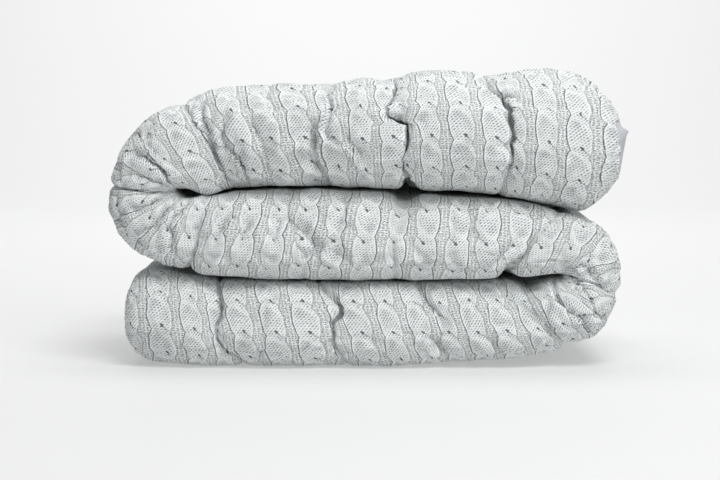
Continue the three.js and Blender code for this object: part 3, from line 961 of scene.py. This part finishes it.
# %% [markdown]
# ## The print's coordinates
# The pattern is printed on the flat cloth, so it has to bend, gather and dip with it. Two
# numbers on the cloth carry it: U counts the repeats along the cloth, and V counts them
# along the outline from the middle of the front. Printed cloth creeps a little when it is
# stuffed and folded, and three short tables hold how far.

# %% Print coordinates
REPEAT = 37.5            # one repeat of the print, both ways
FIRST_REPEAT = 0.68      # how much of a repeat the lower free end cuts off
PRINT_SLIP = [           # (place along the cloth, repeats that the print has crept there)
    (0, -0.35), (26, -0.02), (60, 0.25), (110, 0.16), (213, 0.14), (252, 0), (285, 0.14),
    (325, -0.05), (400, -0.1), (440, 0), (1180, 0), (1218, 0.15), (1262, 0), (1830, 0),
    (1862, 0.1), (1905, -0.1), (1990, -0.35), (2025, -0.3), (2058, -0.2), (2075, -0.2),
]
PRINT_BOW = [            # (place along the cloth, repeats crept at the under, top face)
    (0, 0, 0), (1800, 0, 0), (1934, 0.05, 0.15), (1975, 0.4, 0.5), (2040, 0.45, 0.4),
    (2075, 0.4, 0.3),
]
BOW_STEEP = 2.3          # a bowed column bends mostly near the two faces
PRINT_DOWN = ((560, 0), (800, -8), (1180, -8), (1420, 0))  # the middle layer's print, mm

arc[:, :SKIN] = arc_skin
run_all = np.repeat(run[:, None], into.shape[1], axis=1)
run_all[:, :SKIN] = RUN_GRID
slip = np.interp(run_all, *zip(*PRINT_DOWN))
u_print = run_all / REPEAT - FIRST_REPEAT + np.interp(run_all, *zip(*PRINT_SLIP))
bow_at, low_bow, high_bow = zip(*PRINT_BOW)
quarter = arc_skin[:, -len(FLAT) - 1:-len(FLAT)]
up_share = np.clip(arc / quarter, -1, 1)
low_creep = np.interp(run_all, bow_at, low_bow)
high_creep = np.interp(run_all, bow_at, high_bow)
u_print += np.where(up_share > 0, high_creep, low_creep) * np.abs(up_share) ** BOW_STEEP
v_print = (arc + slip) / REPEAT
print("repeats along the cloth:", (u_print.max() - u_print.min()).round(1))

# %% [markdown]
# ## The mesh
# The outlines become rings of points, neighbouring rings are joined by quads, and both
# free ends are closed. The edge seam gets its own plain cloth. One corner of it stands
# out at the upper free end like a small ear, and the lower free end is pressed flatter.

# %% Free ends
PLAIN_EDGE = 2.0         # width of the plain edge seam
EAR_HEIGHTS, EAR_OUT = (250, 265, 267), (0, 9, 0)  # the corner that stands out at the end
EAR_RINGS = (1.0, 0.75, 0.4)  # its share in the last rings, from the end
END_PRESSED = 3.5        # the lower free end is this much flatter
END_LONG = 40            # over this length

ear = np.interp(skin[-1, :, 2], EAR_HEIGHTS, EAR_OUT) * (np.abs(UP) < 0.95)
for ring, share_out in enumerate(EAR_RINGS, start=1):
    skin[-ring, :, 0] += ear * share_out
skin[..., 2] = np.where(skin[..., 2] < 0, 0, skin[..., 2])
place[:, :SKIN] = skin
end_x = place[0, :, 0].min() + END_PRESSED
near_end = run < END_LONG
place[near_end, :, 0] = np.maximum(place[near_end, :, 0], end_x)
print("ear stands out by", ear.max().round(1), "mm")


# %% Mesh of the duvet
def grid_mesh(name, points, u, v, v_close):
    """A closed mesh from rings of points, with its print coordinates."""
    n_ring, n_point = points.shape[:2]
    number = np.arange(n_ring * n_point).reshape(n_ring, n_point)
    i = np.arange(n_point)
    j = (i + 1) % n_point
    quads = np.stack((number[:-1, i], number[1:, i], number[1:, j], number[:-1, j]), axis=-1)
    caps = [number[0].tolist(), number[-1, ::-1].tolist()]
    v_next = np.where(j == 0, v_close[:, None], v[:, j])
    here = np.stack((u, v), axis=-1)
    after = np.stack((u[:, j], v_next), axis=-1)
    uv = np.stack((here[:-1], here[1:], after[1:], after[:-1]), axis=2)
    cap_uv = [here[0], here[-1, ::-1]]
    mesh = bpy.data.meshes.new(name)
    mesh.from_pydata((points.reshape(-1, 3) * MM).tolist(), [],
                     quads.reshape(-1, 4).tolist() + caps)
    layer = mesh.uv_layers.new(name="print")
    flat = np.concatenate((uv.reshape(-1, 2), *cap_uv)).astype(np.float32)
    layer.data.foreach_set("uv", flat.ravel())
    from_edge = np.minimum(run[:-1], RUN_END - run[1:])[:, None] + 0 * i
    in_ear = np.zeros(from_edge.shape, bool)
    in_ear[-len(EAR_RINGS):, :SKIN] = (ear > 0.5) | (np.roll(ear, -1) > 0.5)
    plain = np.concatenate((((from_edge < PLAIN_EDGE) | in_ear).ravel(), [True, True]))
    mesh.polygons.foreach_set("material_index", plain.astype(np.int32))
    mesh.polygons.foreach_set("use_smooth", np.ones(len(mesh.polygons), bool))
    mesh.validate()
    return mesh


duvet = added("duvet_cloth", grid_mesh(
    "duvet_cloth", place, u_print, v_print, v_print[:, -1] + closing / REPEAT))
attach(duvet, "root")
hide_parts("duvet")
print("duvet:", len(duvet.data.vertices), "points,", len(duvet.data.polygons), "faces")

# %% [markdown]
# ## Shader maths, written like arithmetic
# The print is drawn by shader nodes alone. A pattern like this takes many Math nodes,
# and wiring them one by one hides the idea. A small class keeps one value of the
# material and makes a node for each sign that is used on it, so that a line of the
# lesson reads like a formula.

# %% A value in a material
class Value:
    """One value in a material, which can be added, multiplied and compared."""

    def __init__(self, tree, socket):
        self.tree = tree
        self.socket = socket

    def filled(self, made, *values):
        """The result of a node whose inputs are filled with values or plain numbers."""
        for slot, value in zip(made.inputs, values):
            if isinstance(value, Value):
                self.tree.links.new(value.socket, slot)
            else:
                slot.default_value = value
        return Value(self.tree, made.outputs[0])

    def node(self, operation, *others):
        made = self.tree.nodes.new("ShaderNodeMath")
        made.operation = operation
        return self.filled(made, self, *others)

    def __add__(self, other):
        return self.node("ADD", other)

    def __sub__(self, other):
        return self.node("SUBTRACT", other)

    def __mul__(self, other):
        return self.node("MULTIPLY", other)

    def __neg__(self):
        return self.node("MULTIPLY", -1.0)

    def fraction(self):
        return self.node("FRACT")

    def size(self):
        return self.node("ABSOLUTE")

    def power(self, exponent):
        return self.node("POWER", exponent)

    def wave(self, turns=1.0, shift=0.0):
        """A sine that repeats `turns` times for each 1 of the value."""
        return (self * (2 * math.pi * turns) + 2 * math.pi * shift).node("SINE")

    def ramp(self, low, high):
        """0 at `low`, 1 at `high`, smooth between; `low` may be the larger one."""
        made = self.tree.nodes.new("ShaderNodeMapRange")
        made.interpolation_type = "SMOOTHSTEP"
        return self.filled(made, self, low, high, 0.0, 1.0)

    def band(self, middle, wide):
        """1 at `middle`, 0 past `wide` on both sides."""
        return (self - middle).size().ramp(wide, 0.0)

    def either(self, other):
        return self.node("MAXIMUM", other)


# %% Colours and cloth
def mixed(tree, share, low, high):
    """A colour between two colours, or colour sockets, by a share from 0 to 1."""
    made = tree.nodes.new("ShaderNodeMix")
    made.data_type = "RGBA"
    made.clamp_factor = True
    tree.links.new(share.socket, made.inputs[0])
    for slot, colour in ((made.inputs[6], low), (made.inputs[7], high)):
        if isinstance(colour, bpy.types.NodeSocket):
            tree.links.new(colour, slot)
        else:
            slot.default_value = (*colour, 1.0)
    return made.outputs[2]


def new_material(name, roughness, sheen):
    """A cloth material and its shader."""
    material = bpy.data.materials.new(name)
    material.use_nodes = True
    tree = material.node_tree
    shader = tree.nodes["Principled BSDF"]
    shader.inputs["Roughness"].default_value = roughness
    shader.inputs["Sheen Weight"].default_value = sheen
    shader.inputs["Sheen Roughness"].default_value = 0.5
    shader.inputs["Specular IOR Level"].default_value = 0.25
    return material, tree, shader


def striped(name, roughness, sheen, scale, dark, light):
    """A plain cloth or thread with very fine stripes of two close colours."""
    material, tree, shader = new_material(name, roughness, sheen)
    stripes = tree.nodes.new("ShaderNodeTexWave")
    stripes.inputs["Scale"].default_value = scale
    place_of = tree.nodes.new("ShaderNodeTexCoord")
    tree.links.new(place_of.outputs["Object"], stripes.inputs["Vector"])
    colour = mixed(tree, Value(tree, stripes.outputs[1]), dark, light)
    tree.links.new(colour, shader.inputs["Base Color"])
    return material


# %% [markdown]
# ## The knit-look print
# The cloth isn't knitted: a smooth cotton carries a grey picture of a cable knit. One
# repeat is a column of plump, overlapping lobes beside a strip of small purl stitches.
# Every lobe starts at a notch on the left, arches over the lobe before it, and ends in
# a second notch on the right, with a dark drop where the two cross. Each part of that
# is a line or two below. All of it works on two numbers: x across the repeat, and y along
# the cable, so one drawing repeats over the whole cloth.

# %% Print colours
WHITE_LINE = (0.92, 0.94, 0.935)
LOBE = (0.82, 0.85, 0.845)
LOBE_DARK = (0.36, 0.39, 0.39)
STITCH = (0.14, 0.155, 0.155)
PURL = (0.88, 0.91, 0.905)
PURL_DARK = (0.19, 0.205, 0.2)
OUTLINE = (0.04, 0.05, 0.06)
DROP = (0.02, 0.028, 0.03)

# %% Coordinates of one lobe
# all in repeats of the print
FIRST_LOBE = 0.73        # how far up the first lobe starts
CABLE_FROM = 0.06        # the cable starts so far left of a repeat's edge
CABLE_WIDE = 0.6
ARCH_HIGH = 0.12         # a lobe arches up so much over the one before it
NOTCH_DEEP = 0.12        # a lobe's sides swing out so far between two notches
NOTCH_LATER = 0.11       # the right notch lies so much lower than the left one
EDGE_SOFT = 0.008
DIAGONAL = 0.7071        # the small stitches on a lobe run at 45 degrees
HATCH, ROW, PURL_WIDE = 0.07, 0.074, 0.11  # sizes of the printed stitches
cloth, tree, shader = new_material("printed_cotton", roughness=0.85, sheen=0.15)
uv_node = tree.nodes.new("ShaderNodeUVMap")
uv_node.uv_map = "print"
split = tree.nodes.new("ShaderNodeSeparateXYZ")
tree.links.new(uv_node.outputs[0], split.inputs[0])
u_all = Value(tree, split.outputs[0])
y_all = -Value(tree, split.outputs[1]) + FIRST_LOBE


def noise(scale, detail):
    """Random spots in the print's own coordinates."""
    made = tree.nodes.new("ShaderNodeTexNoise")
    made.inputs["Scale"].default_value = scale
    made.inputs["Detail"].default_value = detail
    tree.links.new(uv_node.outputs[0], made.inputs["Vector"])
    return Value(tree, made.outputs[0])


x = (u_all + CABLE_FROM).fraction() - CABLE_FROM  # 0 at a repeat's edge
arch = (x - 0.08).wave(1.0) * -ARCH_HIGH
y = (y_all - arch).fraction()               # 0 at a lobe's upper edge, 1 at its lower
print("first numbers of the print take", len(tree.nodes), "nodes")

# %% Outline of one lobe
bulge_left = y_all.wave(0.5).size().power(0.7)
bulge_right = (y_all - NOTCH_LATER).wave(0.5).size().power(0.7)
left = (-bulge_left + 1.0) * NOTCH_DEEP
right = bulge_right * NOTCH_DEEP + CABLE_WIDE
from_left = x - left
from_right = right - x
in_lobe = from_left.ramp(-EDGE_SOFT, EDGE_SOFT) * from_right.ramp(-EDGE_SOFT, EDGE_SOFT)
rim = from_left.band(0.024, 0.02).either(from_right.band(0.022, 0.02)) * in_lobe
edge_shade = from_right.band(-0.03, 0.05) * (-in_lobe + 1.0)
outline = from_left.band(-0.02, 0.028)
print("with its outline,", len(tree.nodes), "nodes")

# %% Stitches and shading of a lobe
slant = (x + y_all) * DIAGONAL
hatch = slant.wave(1 / HATCH).ramp(-0.3, 0.5)
dot_rows = y_all.wave(1 / ROW).ramp(-0.5, 0.2)
near_rim = from_left.ramp(0.09, 0.045).either(from_right.ramp(0.09, 0.045)) * in_lobe
worn = noise(9.0, 2.0).ramp(0.35, 0.6)
speck = noise(22.0, 1.0).ramp(0.43, 0.57)
shade_spot = (x - 0.27).band(0.0, 0.2) * (y - 0.36).band(0.0, 0.27)
shine_line = y - (x - 0.1) * 0.42
shine = shine_line.band(0.09, 0.14) * x.ramp(0.02, 0.12) * from_right.ramp(0.0, 0.1)
shine = shine.either((y - 0.85).band(0.0, 0.16) * 0.6)
print("with the shading of a lobe,", len(tree.nodes), "nodes")

# %% Drop, tail and purl stitches
drop_across = (x - 0.43).band(0.0, 0.08)
drop = (drop_across * y.band(0.95, 0.07)).ramp(0.1, 0.5)
tail_y = (y_all - arch + 0.5).fraction() - 0.5
tail = tail_y.band(-0.012, 0.024) * x.ramp(0.40, 0.48) * x.ramp(0.70, 0.64)
purl_vee = (x * (1 / PURL_WIDE)).fraction() - 0.5
purl_row = (y_all + purl_vee.size() * 0.05).wave(1 / HATCH).ramp(-0.5, 0.3)
purl_column = x.wave(1 / PURL_WIDE, 0.3).ramp(-1.2, 0.2)
purl_dots = (purl_row * purl_column * 0.5 + speck * 0.5).node("MINIMUM", 1.0)
print("with drop, tail and purl,", len(tree.nodes), "nodes")

# %% Colour of the print
dots = hatch * (dot_rows * 0.85 + 0.15) * (worn * 0.35 + shade_spot * 0.35 + 0.55) + speck * 0.12
lobe_colour = mixed(tree, dots * (-near_rim + 1.0), LOBE, STITCH)
lobe_colour = mixed(tree, shade_spot * 0.3, lobe_colour, LOBE_DARK)
lobe_colour = mixed(tree, near_rim * hatch * 0.5, lobe_colour, STITCH)
lobe_colour = mixed(tree, shine * 0.4, lobe_colour, WHITE_LINE)
lobe_colour = mixed(tree, rim * 0.85, lobe_colour, WHITE_LINE)
gap_colour = mixed(tree, purl_dots, PURL, PURL_DARK)
gap_colour = mixed(tree, edge_shade * 0.35, gap_colour, PURL_DARK)
colour = mixed(tree, in_lobe, gap_colour, lobe_colour)
colour = mixed(tree, outline * 0.9, colour, OUTLINE)
colour = mixed(tree, tail * 0.7, colour, OUTLINE)
colour = mixed(tree, drop * 0.85, colour, DROP)
tree.links.new(colour, shader.inputs["Base Color"])
print("whole drawing:", len(tree.nodes), "nodes")

# %% Printed cloth
weave = noise(60.0, 3.0)
bump = tree.nodes.new("ShaderNodeBump")
bump.inputs["Strength"].default_value = 0.25
bump.inputs["Distance"].default_value = 0.0006
tree.links.new(weave.socket, bump.inputs["Height"])
tree.links.new(bump.outputs[0], shader.inputs["Normal"])
duvet.data.materials.append(cloth)
print("printed cloth:", len(tree.nodes), "nodes")

# %% Plain edge cloth
edge_cloth = striped("plain_edge_cloth", roughness=0.8, sheen=0.2, scale=900.0,
                     dark=(0.44, 0.44, 0.49), light=(0.54, 0.55, 0.58))
duvet.data.materials.append(edge_cloth)
print("cloths of the duvet:", [one_cloth.name for one_cloth in duvet.data.materials])

# %% [markdown]
# ## Quilting stitches
# A machine sews each quilting seam: straight stitches of one length, one after the other,
# along the bottom of the furrow. That is one thing repeated along a path, so a node tree
# does it: the seam's line is cut into equal steps, and each step gets one short thread.

# %% Row of stitches
STITCH_STEP = 0.0042     # metres
STITCH_LONG = 0.0032
THREAD_RADIUS = 0.00035
THREAD_SIDES = 6
UNEVEN = {"Min": 0.85, "Max": 1.05}  # no two stitches are quite the same size
STITCH_SEED = 5


def stitch_tree():
    """A node tree that lays one stitch after another along lines."""
    tree = bpy.data.node_groups.new("row_of_stitches", "GeometryNodeTree")
    face = tree.interface
    for name, kind in (("Lines", "Geometry"), ("Step", "Float"), ("Stitch length", "Float"),
                       ("Thread radius", "Float"), ("Thread", "Material")):
        face.new_socket(name, in_out="INPUT", socket_type="NodeSocket" + kind)
    face.new_socket("Stitches", in_out="OUTPUT", socket_type="NodeSocketGeometry")

    def node(kind, links=(), **settings):
        made = tree.nodes.new(kind)
        for name, value in settings.items():
            setattr(made, name, value)
        for slot, source in links:
            tree.links.new(source, made.inputs[slot])
        return made

    given = node("NodeGroupInput").outputs
    curve = node("GeometryNodeMeshToCurve", [("Mesh", given["Lines"])])
    steps = node("GeometryNodeResampleCurve",
                 [("Curve", curve.outputs[0]), ("Length", given["Step"])], mode="LENGTH")
    ends = []
    for part in (-0.5, 0.5):
        reach_z = node("ShaderNodeMath", [(0, given["Stitch length"])], operation="MULTIPLY")
        reach_z.inputs[1].default_value = part
        ends.append(node("ShaderNodeCombineXYZ", [("Z", reach_z.outputs[0])]).outputs[0])
    line = node("GeometryNodeCurvePrimitiveLine", [("Start", ends[0]), ("End", ends[1])])
    round_thread = node("GeometryNodeCurvePrimitiveCircle", [("Radius", given["Thread radius"])])
    round_thread.inputs["Resolution"].default_value = THREAD_SIDES
    stitch = node("GeometryNodeCurveToMesh", [
        ("Curve", line.outputs[0]), ("Profile Curve", round_thread.outputs[0])])
    stitch.inputs["Fill Caps"].default_value = True
    tangent = node("GeometryNodeInputTangent")
    turn = node("FunctionNodeAlignRotationToVector", [("Vector", tangent.outputs[0])], axis="Z")
    uneven = node("FunctionNodeRandomValue", data_type="FLOAT")
    uneven.inputs["Seed"].default_value = STITCH_SEED
    for slot in uneven.inputs:
        if slot.name in UNEVEN and slot.type == "VALUE":
            slot.default_value = UNEVEN[slot.name]
    placed = node("GeometryNodeInstanceOnPoints", [
        ("Points", steps.outputs[0]), ("Instance", stitch.outputs[0]),
        ("Rotation", turn.outputs[0]), ("Scale", uneven.outputs[1])])
    solid = node("GeometryNodeRealizeInstances", [(0, placed.outputs[0])])
    threaded = node("GeometryNodeSetMaterial",
                    [("Geometry", solid.outputs[0]), ("Material", given["Thread"])])
    node("NodeGroupOutput", [(0, threaded.outputs[0])])
    return tree


# %% Seam lines
def seam_line(k):
    """The points of seam k on the finished skin, just off the cloth."""
    at = seam_run[k] + askew_grid[k]
    line = np.empty((SKIN, 3))
    for j in range(SKIN):
        for axis in range(3):
            on_skin = skin[:, j, axis] + THREAD_RADIUS / MM * out_of[:, j, axis]
            line[j, axis] = np.interp(at[j], RUN_GRID[:, j], on_skin)
    return line * MM


spots = np.concatenate([seam_line(k) for k in range(SEAM_COUNT)])
joins = [(k * SKIN + j, k * SKIN + j + 1) for k in range(SEAM_COUNT) for j in range(SKIN - 1)]
line_mesh = bpy.data.meshes.new("seam_lines")
line_mesh.from_pydata(spots.tolist(), joins, [])
seam_lines = added("seam_lines", line_mesh)
print(SEAM_COUNT, "lines of", SKIN, "points")

# %% Quilting stitches
sewing = striped("white_sewing_thread", roughness=0.55, sheen=0.3, scale=700.0,
                 dark=(0.6, 0.62, 0.62), light=(0.78, 0.8, 0.8))
row = seam_lines.modifiers.new("Row of stitches", "NODES")
row.node_group = stitch_tree()
inputs = {item.name: item.identifier for item in row.node_group.interface.items_tree
          if item.in_out == "INPUT"}
row[inputs["Step"]] = STITCH_STEP
row[inputs["Stitch length"]] = STITCH_LONG
row[inputs["Thread radius"]] = THREAD_RADIUS
row[inputs["Thread"]] = sewing
finished = seam_lines.evaluated_get(bpy.context.evaluated_depsgraph_get())
stitches = added("quilting_stitches", bpy.data.meshes.new_from_object(finished))
seam_lines.modifiers.remove(row)
bpy.data.objects.remove(seam_lines)
bpy.data.meshes.remove(line_mesh)
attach(stitches, "root")
print("stitches:", len(stitches.data.polygons), "faces,",
      len(stitches.data.vertices) // (2 * THREAD_SIDES), "stitches")

# %% [markdown]
# ## Floor and light
# The studio is white and nearly shadowless. The floor is a sweep: flat under the duvet,
# and curved up far behind it, so no horizon shows. It glows a little, which is painted
# light: it lifts the shadows on the floor and lightens the undersides of the folds. A
# wide soft lamp above the front gives the main light, and a weaker one at the right
# front opens the shadows. Two more lamps light the floor behind the duvet and the
# curved backdrop, and a pale world fills the rest.

# %% Floor
FLOOR_FRONT, FLOOR_BACK, SWEEP = -4.0, 3.0, 1.2
SWEEP_STEPS = 16
BACKDROP_HIGH = 5.0
HALF_WIDE = 6.0
PAPER = (0.52, 0.52, 0.522, 1.0)
# strength of the floor's painted glow
GLOW = 0.29
curve = [(FLOOR_FRONT, 0.0), (0.0, 0.0), (FLOOR_BACK, 0.0)]
for step in range(1, SWEEP_STEPS + 1):
    turn = step / SWEEP_STEPS * math.pi / 2
    curve.append((FLOOR_BACK + SWEEP * math.sin(turn), SWEEP * (1 - math.cos(turn))))
curve.append((FLOOR_BACK + SWEEP, BACKDROP_HIGH))
corners = [(side_x, y_at, z_at) for y_at, z_at in curve for side_x in (-HALF_WIDE, HALF_WIDE)]
strips = [(2 * i, 2 * i + 1, 2 * i + 3, 2 * i + 2) for i in range(len(curve) - 1)]
floor_mesh = bpy.data.meshes.new("studio_floor")
floor_mesh.from_pydata(corners, [], strips)
floor_mesh.polygons.foreach_set("use_smooth", np.ones(len(strips), bool))
floor = added("studio_floor", floor_mesh)
paper = bpy.data.materials.new("pale_paper_glowing")
paper.use_nodes = True
paper_shader = paper.node_tree.nodes["Principled BSDF"]
paper_shader.inputs["Base Color"].default_value = PAPER
# the floor's glow is painted light: it lifts the shadows on the floor and lights the folds from below
paper_shader.inputs["Emission Color"].default_value = (1.0, 1.0, 1.0, 1.0)
paper_shader.inputs["Emission Strength"].default_value = GLOW
paper_shader.inputs["Roughness"].default_value = 0.7
floor.data.materials.append(paper)
floor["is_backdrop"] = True
print("floor of", len(strips), "strips")

# %% Light
WORLD_COLOUR, WORLD_STRENGTH = (0.97, 0.985, 1.0, 1.0), 0.19
LAMPS = {
    # place, point that it looks at, width in metres, watts, colour
    "key_above": ((0.5, -1.5, 2.2), (0, 0, 0.1), 1.2, 42.0, (1.0, 1.0, 1.0)),
    "fill_front": ((1.3, -2.4, 1.0), (0, 0, 0.15), 1.8, 15.0, (0.99, 1.0, 1.0)),
    "floor_lamp": ((0.0, 0.9, 2.9), (0, 2.6, 0.9), 2.4, 62.0, (1.0, 1.0, 1.0)),
    "backdrop_lamp": ((0.0, 2.5, 2.9), (0, 4.2, 1.6), 2.4, 42.0, (1.0, 1.0, 1.0)),
}
world = bpy.data.worlds.new("studio")
bpy.context.scene.world = world
world.use_nodes = True
world.node_tree.nodes["Background"].inputs[0].default_value = WORLD_COLOUR
world.node_tree.nodes["Background"].inputs[1].default_value = WORLD_STRENGTH
for name, (at, aim, wide, watts, colour) in LAMPS.items():
    lamp = bpy.data.lights.new(name, "AREA")
    lamp.shape = "SQUARE"
    lamp.size = wide
    lamp.energy = watts
    lamp.color = colour
    lamp_object = added(name, lamp)
    lamp_object.location = at
    lamp_object.rotation_euler = (Vector(aim) - Vector(at)).to_track_quat("-Z", "Y").to_euler()
bpy.context.scene.view_settings.view_transform = "Standard"
bpy.context.scene.view_settings.look = "None"
print("lamps:", *LAMPS)

# %% Sizes
visual_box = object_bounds()
for name, box_now in (("solid", FRAME_BOX), ("cloth", visual_box)):
    print(name, [[round(float(c), 4) for c in v] for v in box_now])
